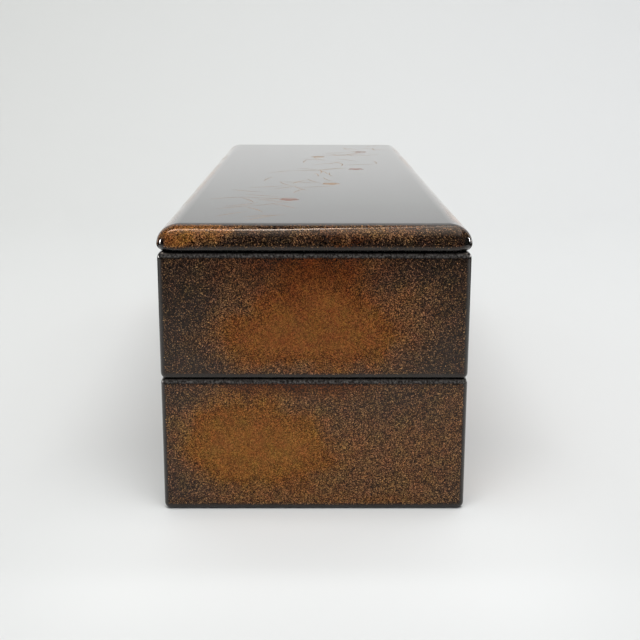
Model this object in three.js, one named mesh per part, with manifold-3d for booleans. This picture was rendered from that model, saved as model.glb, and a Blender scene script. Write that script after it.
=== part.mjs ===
// A long, narrow writing box of lacquered wood: a lower tier for paper, an upper tier with a
// fitted tray for the inkstone, water dropper, ink stick and brushes, and a flat lid.
// Millimetres, +Z up, +Y along the box. The origin is the middle of the underside.
import * as THREE from "three";
import { mergeVertices } from "three/addons/utils/BufferGeometryUtils.js";
import Module from "manifold-3d";

const wasm = await Module();
wasm.setup();

// Outside of the stack
const boxWidth = 86;
const boxLength = 280;
const lowerHeight = 39;
const upperHeight = 35.65;
const lidHeight = 7.25;
const lidOverhang = 0.5;

// Rounded edges and corners
const tierCorner = 2;
const shoulderWidth = 1.3;
const shoulderDrop = 1.9;
const footWidth = 1.5;
const footDrop = 1.8;
const upperFootWidth = 0.9;
const upperFootDrop = 1.45;
const lidCorner = 5.6;
const lidShoulderWidth = 6.4;
const lidLowerEdge = 1.35;
const lidUpright = 0.1;
const lipEdge = 0.5;

// Boards and the lip that locates one level on the next
const wallThickness = 5;
const bottomThickness = 2.8;
const lipThickness = 2.2;
const lipRise = 3;
const lipSeat = 6;
const lipClearance = 0.35;
const lipHeadroom = 0.4;

// Gaps: the film of glue in a joint, and the rest of one level on the next
const glueLine = 0.05;
const restGap = 0.05;

// Tray of the upper tier
const trayClearance = 0.4;
const trayFloor = 2.4;
const trayWall = 2.4;
const trayRim = 8;
const dividerThickness = 2;
const trayEdge = 0.6;

// Inkstone
const stoneLength = 100;
const stoneHeight = 12;
const stoneCorner = 3;
const stoneEdge = 0.8;
const stoneRim = 4;
const wellCorner = 6;
const landDepth = 2;
const landFall = 0.5;
const seaDepth = 7.5;
const seaLength = 17;
const slopeLength = 15;
const seaEndRound = 4;

// Water dropper
const dropperLength = 44;
const dropperHeight = 15;
const dropperWall = 1;
const dropperCorner = 6;
const dropperFootRound = 1.5;
const plateThickness = 2.2;
const plateShoulder = 4;
const flangeDepth = 1.2;
const flangeClearance = 0.15;
const spoutRadius = 2;
const spoutRise = 1.8;
const spoutInset = 7.5;
const pourHole = 1.6;

// Ink stick
const stickWidth = 18;
const stickLength = 84;
const stickHeight = 9;
const stickEdge = 1.2;
const stickCorner = 1.6;
const stickWear = 14;

// Brushes and their rests
const brushSides = ["left", "right"];
const shaftRadius = 4.2;
const shaftLength = 166;
const shaftTaper = 0.5;
const nodeRidge = 0.25;
const socketRadius = 3.1;
const socketDepth = 10;
const plugRadius = 2.2;
const plugDepth = 6;
const plugHead = 5;
const brushGap = 2;
const hairLength = 34;
const hairBelly = 3.9;
const brushFit = 0.15;
const restThickness = 6;
const restUnder = 2;
const restFit = 0.3;
const restInset = 14;

// What lies loose in a compartment has this much play on each side
const play = 0.6;
const seatFilm = 0.05;

// Fineness of the rounded surfaces
const cornerSteps = 5;
const edgeSteps = 5;
const shoulderSteps = 8;
const turnSteps = 20;
const reach = 1000;

// Sizes that follow from the ones above
const innerWidth = boxWidth - 2 * wallThickness;
const innerLength = boxLength - 2 * wallThickness;
const lipOuter = lipThickness - glueLine;
const recessSide = lipOuter + lipClearance;
const recessDepth = lipRise + lipHeadroom;
const trayWidth = innerWidth - 2 * trayClearance;
const trayLength = innerLength - 2 * trayClearance;
const channelWidth = brushSides.length * (2 * shaftRadius + brushGap);
const stoneBayLength = stoneLength + 2 * play;
const dropperBayLength = dropperLength + 2 * play;
const wallFace = trayWidth / 2 - trayWall;
const endFace = trayLength / 2 - trayWall;
const channelLeft = wallFace - channelWidth;
const channelMiddle = wallFace - channelWidth / 2;
const dividerLeft = channelLeft - dividerThickness;
const stoneBay = wallFace + dividerLeft;
const stoneWidth = stoneBay - 2 * play;
const stoneDivider = -endFace + stoneBayLength;
const dropperDivider = stoneDivider + dividerThickness + dropperBayLength;
const bayMiddle = dividerLeft - stoneBay / 2;

const finish = {
  lacquer: new THREE.MeshStandardMaterial({ color: 0x6b4424, roughness: 0.22, metalness: 0.25 }),
  blackLacquer: new THREE.MeshStandardMaterial({ color: 0x1c1815, roughness: 0.15 }),
  slate: new THREE.MeshStandardMaterial({ color: 0x2c2f32, roughness: 0.6 }),
  copper: new THREE.MeshStandardMaterial({ color: 0x8a5a3c, roughness: 0.35, metalness: 1 }),
  ink: new THREE.MeshStandardMaterial({ color: 0x17161a, roughness: 0.5 }),
  bamboo: new THREE.MeshStandardMaterial({ color: 0xb08a4e, roughness: 0.4 }),
  horn: new THREE.MeshStandardMaterial({ color: 0x2a1d16, roughness: 0.25 }),
  hair: new THREE.MeshStandardMaterial({ color: 0xd9c7a3, roughness: 0.8 }),
};

// Points of a rectangle with round corners, anticlockwise, centred on the origin
function outline(width, length, radius) {
  const points = [];
  const corners = [[1, 1], [-1, 1], [-1, -1], [1, -1]];
  corners.forEach(([sideX, sideY], quarter) => {
    for (let step = 0; step <= cornerSteps; step += 1) {
      const angle = ((quarter + step / cornerSteps) * Math.PI) / 2;
      const x = sideX * (width / 2 - radius) + radius * Math.cos(angle);
      const y = sideY * (length / 2 - radius) + radius * Math.sin(angle);
      points.push([x, y]);
    }
  });
  return points;
}

// A closed skin over a stack of outlines with equal numbers of points, from the lowest up
function loft(rings) {
  const count = rings[0].points.length;
  const top = (rings.length - 1) * count;
  const position = rings.flatMap(({ z, points }) => points.flatMap(([x, y]) => [x, y, z]));
  const index = [];
  for (let k = 1; k < count - 1; k += 1) {
    index.push(0, k + 1, k);
    index.push(top, top + k, top + k + 1);
  }
  for (let ring = 0; ring < rings.length - 1; ring += 1) {
    for (let k = 0; k < count; k += 1) {
      const a = ring * count + k;
      const b = ring * count + ((k + 1) % count);
      index.push(a, b, b + count);
      index.push(a, b + count, a + count);
    }
  }
  const geometry = new THREE.BufferGeometry();
  geometry.setAttribute("position", new THREE.Float32BufferAttribute(position, 3));
  geometry.setIndex(index);
  return geometry;
}

// A block whose upper and lower edges are quarter ellipses: inset sideways, drop downwards
function softBlock(width, length, height, radius, lower, upper) {
  const leastRadius = 0.2;
  const rings = [];
  const ring = (inset, z) => {
    const corner = Math.max(radius - inset, leastRadius);
    rings.push({ z, points: outline(width - 2 * inset, length - 2 * inset, corner) });
  };
  for (let step = 0; step <= lower.steps; step += 1) {
    const turn = ((step / lower.steps) * Math.PI) / 2;
    ring(lower.inset * (1 - Math.sin(turn)), lower.drop * (1 - Math.cos(turn)));
  }
  for (let step = 0; step <= upper.steps; step += 1) {
    const turn = ((step / upper.steps) * Math.PI) / 2;
    ring(upper.inset * (1 - Math.cos(turn)), height - upper.drop * (1 - Math.sin(turn)));
  }
  return loft(rings);
}

function edge(radius, steps = edgeSteps) {
  return { inset: radius, drop: radius, steps };
}

// The solid inside a closed geometry
function solid(geometry) {
  geometry.deleteAttribute("normal");
  geometry.deleteAttribute("uv");
  const merged = mergeVertices(geometry, 1e-5);
  return new wasm.Manifold(new wasm.Mesh({
    numProp: 3,
    vertProperties: new Float32Array(merged.attributes.position.array),
    triVerts: new Uint32Array(merged.index.array),
  }));
}

// A box between two corners
function box([x0, y0, z0], [x1, y1, z1]) {
  const geometry = new THREE.BoxGeometry(x1 - x0, y1 - y0, z1 - z0);
  return solid(geometry.translate((x0 + x1) / 2, (y0 + y1) / 2, (z0 + z1) / 2));
}

// A box centred on the Z axis
function prism(width, length, z0, z1) {
  return box([-width / 2, -length / 2, z0], [width / 2, length / 2, z1]);
}

// A block with softened edges, standing on z = 0
function block(width, length, height, radius, round) {
  return solid(softBlock(width, length, height, radius, edge(round, 2), edge(round, 2)));
}

// An upright cylinder between two heights
function post(radius, x, y, z0, z1) {
  const geometry = new THREE.CylinderGeometry(radius, radius, z1 - z0, turnSteps);
  geometry.rotateX(Math.PI / 2);
  return solid(geometry.translate(x, y, (z0 + z1) / 2));
}

function mesh(name, shape, material) {
  const made = shape.getMesh();
  const geometry = new THREE.BufferGeometry();
  geometry.setAttribute("position", new THREE.BufferAttribute(made.vertProperties, 3));
  geometry.setIndex(new THREE.BufferAttribute(made.triVerts, 1));
  const faceted = geometry.toNonIndexed();
  faceted.computeVertexNormals();
  const result = new THREE.Mesh(faceted, material);
  result.name = name;
  return result;
}

function group(parts, x = 0, y = 0, z = 0) {
  const result = new THREE.Group();
  result.add(...parts);
  result.position.set(x, y, z);
  return result;
}

// Cuts a ring into its four boards, with the side boards running past the end boards.
// Between the heights of a finger, the end boards run through the corner instead.
function boards(ring, side, thickness, finger) {
  const x = side.width / 2 - thickness;
  const y = side.length / 2 - thickness;
  const whole = [-reach, reach];
  const cut = (xs, ys, zs) => box([xs[0], ys[0], zs[0]], [xs[1], ys[1], zs[1]]);
  const right = cut([x, reach], whole, whole);
  const back = cut([-x + glueLine, x - glueLine], [y, reach], whole);
  const slots = finger ? [-1, 1].map((end) => {
    const low = end > 0 ? y - glueLine : -reach;
    const high = end > 0 ? reach : -y + glueLine;
    return cut(whole, [low, high], [finger[0] - glueLine, finger[1] + glueLine]);
  }) : [];
  const tongue = finger ? [cut(whole, [y, reach], finger)] : [];
  const sideMask = slots.reduce((made, slot) => made.subtract(slot), right);
  const endMask = tongue.reduce((made, piece) => made.add(piece), back);
  return {
    left: ring.intersect(sideMask.mirror([1, 0, 0])),
    right: ring.intersect(sideMask),
    front: ring.intersect(endMask.mirror([0, 1, 0])),
    back: ring.intersect(endMask),
  };
}

function boardMeshes(name, shapes, material) {
  return Object.entries(shapes).map(([side, shape]) => mesh(`${name}_${side}`, shape, material));
}

// One tier: four walls with finger-jointed corners, a bottom board let into a rebate under
// them, and a lip of four strips let into a rebate on their upper inner edge.
// Below the bottom board the rebate goes on down as a recess, for the lip of the tier below.
function tier(name, height, recess, foot) {
  const underBoard = recess;
  const overBoard = recess + bottomThickness;
  const recessWidth = innerWidth + 2 * recessSide;
  const recessLength = innerLength + 2 * recessSide;
  const outside = { width: boxWidth, length: boxLength };
  const shoulder = { inset: shoulderWidth, drop: shoulderDrop, steps: edgeSteps };
  const ring = solid(softBlock(boxWidth, boxLength, height, tierCorner, foot, shoulder))
    .subtract(prism(innerWidth, innerLength, -reach, reach))
    .subtract(prism(recessWidth, recessLength, -reach, overBoard))
    .subtract(lipSpace(height));
  const walls = boards(ring, outside, wallThickness, [height / 3, (2 * height) / 3]);
  const bottomWidth = recessWidth - 2 * glueLine;
  const bottomLength = recessLength - 2 * glueLine;
  const bottom = prism(bottomWidth, bottomLength, underBoard, overBoard - glueLine);
  return [
    ...boardMeshes(`${name}_wall`, walls, finish.lacquer),
    mesh(`${name}_bottom`, bottom, finish.lacquer),
    ...lip(name, height),
  ];
}

// The rebate that the lip is let into
function lipSpace(height) {
  const width = innerWidth + 2 * lipThickness;
  const length = innerLength + 2 * lipThickness;
  return prism(width, length, height - lipSeat, reach);
}

function lip(name, height) {
  const side = { width: innerWidth + 2 * lipOuter, length: innerLength + 2 * lipOuter };
  const tall = lipSeat - glueLine + lipRise;
  const square = { inset: 0, drop: 0, steps: 1 };
  const skin = softBlock(side.width, side.length, tall, lipEdge, square, edge(lipEdge, 3));
  const ring = solid(skin)
    .translate([0, 0, height - lipSeat + glueLine])
    .subtract(prism(innerWidth, innerLength, -reach, reach));
  return boardMeshes(`${name}_lip`, boards(ring, side, lipOuter), finish.blackLacquer);
}

// The lid: a top board and, glued under it, a frame of four strips that drops over the lip
function lid() {
  const width = boxWidth + 2 * lidOverhang;
  const length = boxLength + 2 * lidOverhang;
  const hollowWidth = innerWidth + 2 * recessSide;
  const hollowLength = innerLength + 2 * recessSide;
  const drop = lidHeight - lidLowerEdge - lidUpright;
  const shoulder = { inset: lidShoulderWidth, drop, steps: shoulderSteps };
  const lower = edge(lidLowerEdge);
  const whole = solid(softBlock(width, length, lidHeight, lidCorner, lower, shoulder));
  const top = whole.intersect(prism(reach, reach, recessDepth, reach));
  const frame = whole
    .intersect(prism(reach, reach, -reach, recessDepth - glueLine))
    .subtract(prism(hollowWidth, hollowLength, -reach, reach));
  const strip = (width - hollowWidth) / 2;
  return [
    mesh("lid_top_board", top, finish.lacquer),
    ...boardMeshes("lid_rim", boards(frame, { width, length }, strip), finish.lacquer),
  ];
}

// The tray: a floor, four walls standing on it, a long divider beside the brush channel
// and two short dividers between the bays of the inkstone, the dropper and the ink stick
function tray() {
  const floor = block(trayWidth, trayLength, trayFloor, trayEdge, trayEdge / 2);
  const rimHeight = trayRim - glueLine;
  const standing = (shape, x, y) => shape.translate([x, y, trayFloor + glueLine]);
  const ring = solid(
    softBlock(trayWidth, trayLength, rimHeight, trayEdge, edge(trayEdge / 2, 2), edge(trayEdge, 2)),
  ).translate([0, 0, trayFloor + glueLine])
    .subtract(prism(2 * wallFace, 2 * endFace, -reach, reach));
  const walls = boards(ring, { width: trayWidth, length: trayLength }, trayWall);
  const dividerHeight = rimHeight - trayEdge;
  const longRun = 2 * (endFace - glueLine);
  const longShape = block(dividerThickness, longRun, dividerHeight, trayEdge / 2, trayEdge / 2);
  const longDivider = standing(longShape, dividerLeft + dividerThickness / 2, 0);
  const shortRun = stoneBay - 2 * glueLine;
  const shortShape = block(shortRun, dividerThickness, dividerHeight, trayEdge / 2, trayEdge / 2);
  const shortDivider = (y) => standing(shortShape, bayMiddle, y + dividerThickness / 2);
  return [
    mesh("tray_floor", floor, finish.blackLacquer),
    ...boardMeshes("tray_wall", walls, finish.blackLacquer),
    mesh("tray_long_divider", longDivider, finish.blackLacquer),
    mesh("tray_stone_divider", shortDivider(stoneDivider), finish.blackLacquer),
    mesh("tray_dropper_divider", shortDivider(dropperDivider), finish.blackLacquer),
    ...brushRests(),
  ];
}

// Distance of each brush from the middle of the channel
function brushOffset(number) {
  return (number - (brushSides.length - 1) / 2) * (2 * shaftRadius + brushGap);
}

// Where the middle of each shaft lies along the channel, with the hair to the front
const brushMiddle = (hairLength - plugHead) / 2;

// Height of the brushes' middle line above the tray's underside
const brushAxis = trayFloor + glueLine + restUnder + shaftRadius + restFit;

// Two low bars across the channel, with a round notch for each brush
function brushRests() {
  const width = channelWidth - 2 * glueLine;
  const height = brushAxis - trayFloor - glueLine - shaftRadius / 3;
  const shape = block(width, restThickness, height, trayEdge, trayEdge / 2);
  return ["front", "back"].map((end, number) => {
    const y = brushMiddle + (number === 0 ? -1 : 1) * (shaftLength / 2 - restInset);
    let bar = shape.translate([channelMiddle, y, trayFloor + glueLine]);
    brushSides.forEach((side, brush) => {
      const notch = new THREE.CylinderGeometry(
        shaftRadius + restFit, shaftRadius + restFit, 2 * restThickness, 2 * turnSteps,
      );
      bar = bar.subtract(solid(notch.translate(channelMiddle + brushOffset(brush), y, brushAxis)));
    });
    return mesh(`brush_rest_${end}`, bar, finish.blackLacquer);
  });
}

// The inkstone, with its land to grind on, which falls away to the sea that holds the ink
function inkstone() {
  const slab = solid(softBlock(
    stoneWidth, stoneLength, stoneHeight, stoneCorner, edge(stoneEdge, 2), edge(stoneEdge, 3),
  ));
  const wellWidth = stoneWidth - 2 * stoneRim;
  const wellLength = stoneLength - 2 * stoneRim;
  const front = -wellLength / 2;
  const back = wellLength / 2;
  const slopeEnd = back - seaLength;
  const slopeStart = slopeEnd - slopeLength;
  const land = stoneHeight - landDepth;
  const sea = stoneHeight - seaDepth;
  const section = new THREE.Shape();
  section.moveTo(front - 1, stoneHeight + 1);
  section.lineTo(front - 1, land);
  section.lineTo(slopeStart, land - landFall);
  const middle = (slopeStart + slopeEnd) / 2;
  section.bezierCurveTo(middle, land - landFall, middle, sea, slopeEnd, sea);
  section.lineTo(back - seaEndRound, sea);
  section.quadraticCurveTo(back, sea, back, sea + seaEndRound);
  section.lineTo(back, stoneHeight + 1);
  section.closePath();
  const run = new THREE.ExtrudeGeometry(section, {
    depth: stoneWidth, bevelEnabled: false, curveSegments: 10,
  });
  run.translate(0, 0, -stoneWidth / 2);
  const alongY = new THREE.Vector3(0, 1, 0);
  const alongZ = new THREE.Vector3(0, 0, 1);
  const alongX = new THREE.Vector3(1, 0, 0);
  run.applyMatrix4(new THREE.Matrix4().makeBasis(alongY, alongZ, alongX));
  const square = { inset: 0, drop: 0, steps: 1 };
  const walls = solid(
    softBlock(wellWidth, wellLength, 2 * stoneHeight, wellCorner, square, square),
  );
  return mesh("inkstone", slab.subtract(solid(run).intersect(walls)), finish.slate);
}

// The water dropper: a shallow copper vessel, and a top plate with a spout and an air hole
function waterDropper() {
  const vesselHeight = dropperHeight - plateThickness - spoutRise;
  const foot = edge(dropperFootRound, 3);
  const square = { inset: 0, drop: 0, steps: 1 };
  const outside = solid(
    softBlock(stoneWidth, dropperLength, vesselHeight, dropperCorner, foot, square),
  );
  const hollowWidth = stoneWidth - 2 * dropperWall;
  const hollowLength = dropperLength - 2 * dropperWall;
  const hollowCorner = dropperCorner - dropperWall;
  const hollow = solid(
    softBlock(hollowWidth, hollowLength, vesselHeight, hollowCorner, edge(dropperFootRound, 2), square),
  ).translate([0, 0, dropperWall]);
  const shoulder = { inset: plateShoulder, drop: plateThickness - dropperWall, steps: 4 };
  const cover = solid(
    softBlock(stoneWidth, dropperLength, plateThickness, dropperCorner, square, shoulder),
  );
  const flangeWidth = hollowWidth - 2 * flangeClearance;
  const flangeLength = hollowLength - 2 * flangeClearance;
  const flange = solid(
    softBlock(flangeWidth, flangeLength, flangeDepth + dropperWall / 2, hollowCorner, square, square),
  ).translate([0, 0, -flangeDepth]);
  const pocket = prism(
    flangeWidth - 2 * dropperWall, flangeLength - 2 * dropperWall,
    -2 * flangeDepth, plateThickness - dropperWall,
  );
  const spoutX = stoneWidth / 2 - spoutInset;
  const spoutY = -dropperLength / 2 + spoutInset;
  const spout = post(spoutRadius, spoutX, spoutY, plateThickness / 2, plateThickness + spoutRise);
  const holes = [[spoutX, spoutY], [0, 0]]
    .map(([x, y]) => post(pourHole / 2, x, y, -reach, reach));
  const plate = holes.reduce(
    (made, hole) => made.subtract(hole),
    cover.add(flange).subtract(pocket).add(spout),
  );
  return group([
    mesh("water_dropper_vessel", outside.subtract(hollow), finish.copper),
    mesh("water_dropper_top", plate.translate([0, 0, vesselHeight + glueLine]), finish.copper),
  ]);
}

// The ink stick, ground to a slant at its front end
function inkStick() {
  const whole = block(stickWidth, stickLength, stickHeight, stickCorner, stickEdge);
  const slant = new THREE.BoxGeometry(2 * stickWidth, 4 * stickHeight, 4 * stickHeight);
  slant.translate(0, -2 * stickHeight, 0);
  slant.rotateX(-Math.atan2(stickHeight, stickWear));
  slant.translate(0, -stickLength / 2, stickHeight / 2);
  return mesh("ink_stick", whole.subtract(solid(slant)), finish.ink);
}

// A solid turned about the Y axis from a profile of [radius, y] points that runs upwards
function turned(profile) {
  const points = profile.map(([radius, y]) => new THREE.Vector2(radius, y));
  return solid(new THREE.LatheGeometry(points, turnSteps));
}

// A brush lies along Y with its hair to the front: a bamboo shaft, its end plug and the hair
function brush(side) {
  const back = shaftLength / 2;
  const front = -back;
  const rear = shaftRadius - shaftTaper;
  const radiusAt = (share) => shaftRadius + (rear - shaftRadius) * share;
  const ridge = (share) => [
    [radiusAt(share), front + share * shaftLength - 1.5],
    [radiusAt(share) + nodeRidge, front + share * shaftLength],
    [radiusAt(share), front + share * shaftLength + 1],
  ];
  const shaft = turned([
    [0, front + socketDepth],
    [socketRadius, front + socketDepth],
    [socketRadius, front],
    [shaftRadius - nodeRidge, front],
    [shaftRadius, front + 1],
    ...ridge(0.38),
    ...ridge(0.8),
    [rear, back - 0.5],
    [rear - 0.5, back],
    [plugRadius, back],
    [plugRadius, back - plugDepth],
    [0, back - plugDepth],
  ]);
  const spigot = plugRadius - brushFit;
  const plug = turned([
    [0, back - plugDepth + brushFit],
    [spigot, back - plugDepth + brushFit],
    [spigot, back + brushFit],
    [rear - 0.3, back + brushFit],
    [rear, back + 1],
    [rear * 0.85, back + plugHead * 0.5],
    [rear * 0.4, back + plugHead * 0.8],
    [rear * 0.5, back + plugHead * 0.95],
    [rear * 0.3, back + plugHead * 1.2],
    [0, back + plugHead * 1.25],
  ]);
  const root = socketRadius - brushFit;
  const hairShare = [[0.06, 0.8], [0.16, 0.95], [0.3, 1], [0.45, 0.93], [0.62, 0.72], [0.8, 0.42], [0.93, 0.16]];
  const hair = turned([
    [0, front - hairLength],
    ...hairShare.map(([along, share]) => [hairBelly * share, front - hairLength * along]).reverse(),
    [root, front - 0.3],
    [root, front + socketDepth - brushFit],
    [0, front + socketDepth - brushFit],
  ]);
  return [
    mesh(`brush_${side}_shaft`, shaft, finish.bamboo),
    mesh(`brush_${side}_plug`, plug, finish.horn),
    mesh(`brush_${side}_hair`, hair, finish.hair),
  ];
}

// Everything is put together from the bottom up
const upperBase = lowerHeight + restGap;
const lidBase = upperBase + upperHeight + restGap;
const trayBase = recessDepth + bottomThickness + restGap;
const onTray = trayFloor + seatFilm;
const stoneMiddle = -endFace + stoneBayLength / 2;
const dropperMiddle = stoneDivider + dividerThickness + dropperBayLength / 2;
const stickMiddle = (dropperDivider + dividerThickness + endFace) / 2;

const contents = [
  group([inkstone()], bayMiddle, stoneMiddle, onTray),
  group([waterDropper()], bayMiddle, dropperMiddle, onTray),
  group([inkStick()], bayMiddle, stickMiddle, onTray),
  ...brushSides.map((side, number) => (
    group(brush(side), channelMiddle + brushOffset(number), brushMiddle, brushAxis)
  )),
];

const lowerFoot = { inset: footWidth, drop: footDrop, steps: edgeSteps };
const upperFoot = { inset: upperFootWidth, drop: upperFootDrop, steps: edgeSteps };
const fittedTray = group([...tray(), ...contents], 0, 0, trayBase);

const writingBox = group([
  group(tier("lower", lowerHeight, 0, lowerFoot)),
  group([...tier("upper", upperHeight, recessDepth, upperFoot), fittedTray], 0, 0, upperBase),
  group(lid(), 0, 0, lidBase),
]);

export default writingBox;
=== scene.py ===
"""A writing box of black lacquer clouded with sprinkled gold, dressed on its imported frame."""

from functools import partial

import bpy
import numpy as np
from mathutils import Matrix, Vector


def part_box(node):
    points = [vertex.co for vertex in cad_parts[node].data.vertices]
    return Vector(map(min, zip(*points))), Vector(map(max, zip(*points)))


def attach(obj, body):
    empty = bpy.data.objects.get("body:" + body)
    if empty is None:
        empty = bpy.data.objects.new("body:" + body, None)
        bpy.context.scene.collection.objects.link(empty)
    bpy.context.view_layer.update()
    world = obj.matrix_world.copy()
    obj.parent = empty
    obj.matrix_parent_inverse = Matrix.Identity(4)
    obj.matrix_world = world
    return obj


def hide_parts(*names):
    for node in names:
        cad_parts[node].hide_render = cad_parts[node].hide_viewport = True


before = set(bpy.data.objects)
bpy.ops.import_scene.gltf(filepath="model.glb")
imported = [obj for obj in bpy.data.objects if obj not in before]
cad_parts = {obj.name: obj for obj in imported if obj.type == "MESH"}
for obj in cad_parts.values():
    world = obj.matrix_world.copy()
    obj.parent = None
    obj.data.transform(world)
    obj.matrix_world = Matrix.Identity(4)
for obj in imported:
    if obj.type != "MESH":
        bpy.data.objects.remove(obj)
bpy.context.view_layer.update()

# Lower tier: four thin boards of cypress wood glued round a bottom board, which is let into a
# rebate. The lacquer hides every joint, so from outside it is one seamless case. Its foot and its
# upper edge are rubbed down to soft curves, and stay plain black where no gold was sifted.
MM = 0.001
ARC_STEPS = 10
HOLD = 0.06 * MM
CREASE = np.radians(35)


def soften(corners, setbacks):
    """Points of a closed outline in (inset, height) with each corner turned to an elliptical arc.

    With u and v the directions of the edges before and after corner C, and a and b its setbacks,
    P(t) = C - a u (1 - sin t) + b v (1 - cos t), for t from 0 to 90 degrees. One more point
    stands HOLD off each end of the arc, so that the flats beside it shade flat.
    """
    corners = np.asarray(corners, float)
    setbacks = np.asarray(setbacks, float)
    before = corners - np.roll(corners, 1, axis=0)
    after = np.roll(before, -1, axis=0)
    before = (before / np.linalg.norm(before, axis=1, keepdims=True))[:, None, :]
    after = (after / np.linalg.norm(after, axis=1, keepdims=True))[:, None, :]
    turn = np.linspace(0, np.pi / 2, ARC_STEPS + 1)
    back = np.concatenate([[1 - np.sin(turn[0])], 1 - np.sin(turn), [0]])
    ahead = np.concatenate([[0], 1 - np.cos(turn), [1]])
    back = setbacks[:, 0, None] * back
    ahead = setbacks[:, 1, None] * ahead
    back[:, 0] += HOLD
    ahead[:, -1] += HOLD
    return corners[:, None, :] - back[..., None] * before + ahead[..., None] * after


def carry(profile, half, radius, fillet):
    """Carries points of (inset, height) round a rectangle with round corners, as a grid.

    At inset d, the corner of quarter k is C + r (cos q, sin q) for q from 90 k to 90 k + 90
    degrees, with r = radius - d but no less than the fillet, and C the corner drawn in by d + r.
    """
    inset = profile[:, 0, None, None]
    round_off = np.maximum(radius - inset, fillet)
    share = np.concatenate([[0], np.linspace(0, 1, ARC_STEPS + 1), [1]])
    slip = np.zeros(share.size)
    slip[[0, -1]] = -HOLD, HOLD
    turn = (np.arange(4)[:, None] + share) * np.pi / 2
    side_x = np.array([1, -1, -1, 1])[:, None]
    side_y = np.array([1, 1, -1, -1])[:, None]
    x = side_x * (half[0] - inset - round_off) + round_off * np.cos(turn) - slip * np.sin(turn)
    y = side_y * (half[1] - inset - round_off) + round_off * np.sin(turn) + slip * np.cos(turn)
    z = np.broadcast_to(profile[:, 1, None, None], x.shape)
    grid = np.stack([x, y, z], axis=-1)
    return grid.reshape(len(profile), -1, 3)


def piece(name, grid, body, material, stands_for=(), wrap=True, caps=False):
    """Makes a piece from a grid of points whose columns run round and whose rows follow a profile.

    Each square of the grid is a face. The last row joins the first where the rows wrap, and
    otherwise the first and last rows can be closed by a flat cap.
    """
    rows, columns = grid.shape[:2]
    index = np.arange(rows * columns).reshape(rows, columns)
    if wrap:
        index = np.vstack([index, index[:1]])
    around = np.hstack([index, index[:, :1]])
    quads = np.stack([around[:-1, :-1], around[:-1, 1:], around[1:, 1:], around[1:, :-1]], axis=-1)
    faces = quads.reshape(-1, 4).tolist()
    if caps:
        faces += [index[0, ::-1].tolist(), index[-1].tolist()]
    mesh = bpy.data.meshes.new(name)
    mesh.from_pydata(grid.reshape(-1, 3), [], faces)
    mesh.shade_smooth()
    mesh.set_sharp_from_angle(angle=CREASE)
    mesh.materials.append(material)
    made = bpy.data.objects.new(name, mesh)
    bpy.context.collection.objects.link(made)
    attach(made, body)
    if stands_for:
        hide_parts(*stands_for)
    return made


def linear(code):
    """Turns a hex colour into linear red, green, blue and alpha, by the standard sRGB curve."""
    share = np.array([int(code[at:at + 2], 16) for at in (0, 2, 4)]) / 255
    low, high = share / 12.92, ((share + 0.055) / 1.055) ** 2.4
    return (*np.where(share <= 0.04045, low, high).tolist(), 1.0)


def add_node(tree, kind, inputs=None, **settings):
    """Adds a node and gives its outputs. An input that is a socket is linked, any other is set."""
    made = tree.nodes.new(kind)
    for key, value in settings.items():
        setattr(made, key, value)
    for key, value in (inputs or {}).items():
        if isinstance(value, bpy.types.NodeSocket):
            tree.links.new(value, made.inputs[key])
        else:
            made.inputs[key].default_value = value
    return made.outputs


def new_material(name):
    """An empty material, the function that adds its nodes, and its coordinates in millimetres."""
    made = bpy.data.materials.new(name)
    made.use_nodes = True
    made.node_tree.nodes.clear()
    add = partial(add_node, made.node_tree)
    place = add("ShaderNodeTexCoord")["Object"]
    mm = add("ShaderNodeVectorMath", {0: place, "Scale": 1 / MM}, operation="SCALE")[0]
    return made, add, mm


# Roiro lacquer: black urushi polished with charcoal. It is a deep, wet black whose mirror gloss
# is broken only by the faintest waviness of a surface that was rubbed flat by hand.
LACQUER_IOR = 1.5
LACQUER_ROUGHNESS = 0.07
HAND_WAVE = 26
HAND_WAVE_HEIGHT = 0.012
MOTTLE = 9
BLACK = linear("151413")
WARM_BLACK = linear("221e1c")


def hand_wave(add, mm):
    """The waviness of the hand-rubbed surface, as a bump of about a hundredth of a millimetre."""
    wave = add("ShaderNodeTexNoise", {"Vector": mm, "Scale": 1 / HAND_WAVE, "Detail": 2.0})[0]
    depth = {"Height": wave, "Strength": 1.0, "Distance": HAND_WAVE_HEIGHT * MM}
    return add("ShaderNodeBump", depth)[0]


def roiro_urushi():
    """Plain polished black, in places a little warmer where light has browned it."""
    made, add, mm = new_material("roiro_black_urushi")
    mottle = add("ShaderNodeTexNoise", {"Vector": mm, "Scale": 1 / MOTTLE, "Detail": 4.0})[0]
    shade = add("ShaderNodeMix", {0: mottle, 6: BLACK, 7: WARM_BLACK}, data_type="RGBA")[2]
    shader = add("ShaderNodeBsdfPrincipled", {
        "Base Color": shade, "Roughness": LACQUER_ROUGHNESS, "IOR": LACQUER_IOR,
        "Normal": hand_wave(add, mm),
    })[0]
    add("ShaderNodeOutputMaterial", {"Surface": shader})
    return made


ROIRO_URUSHI = roiro_urushi()

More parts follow.
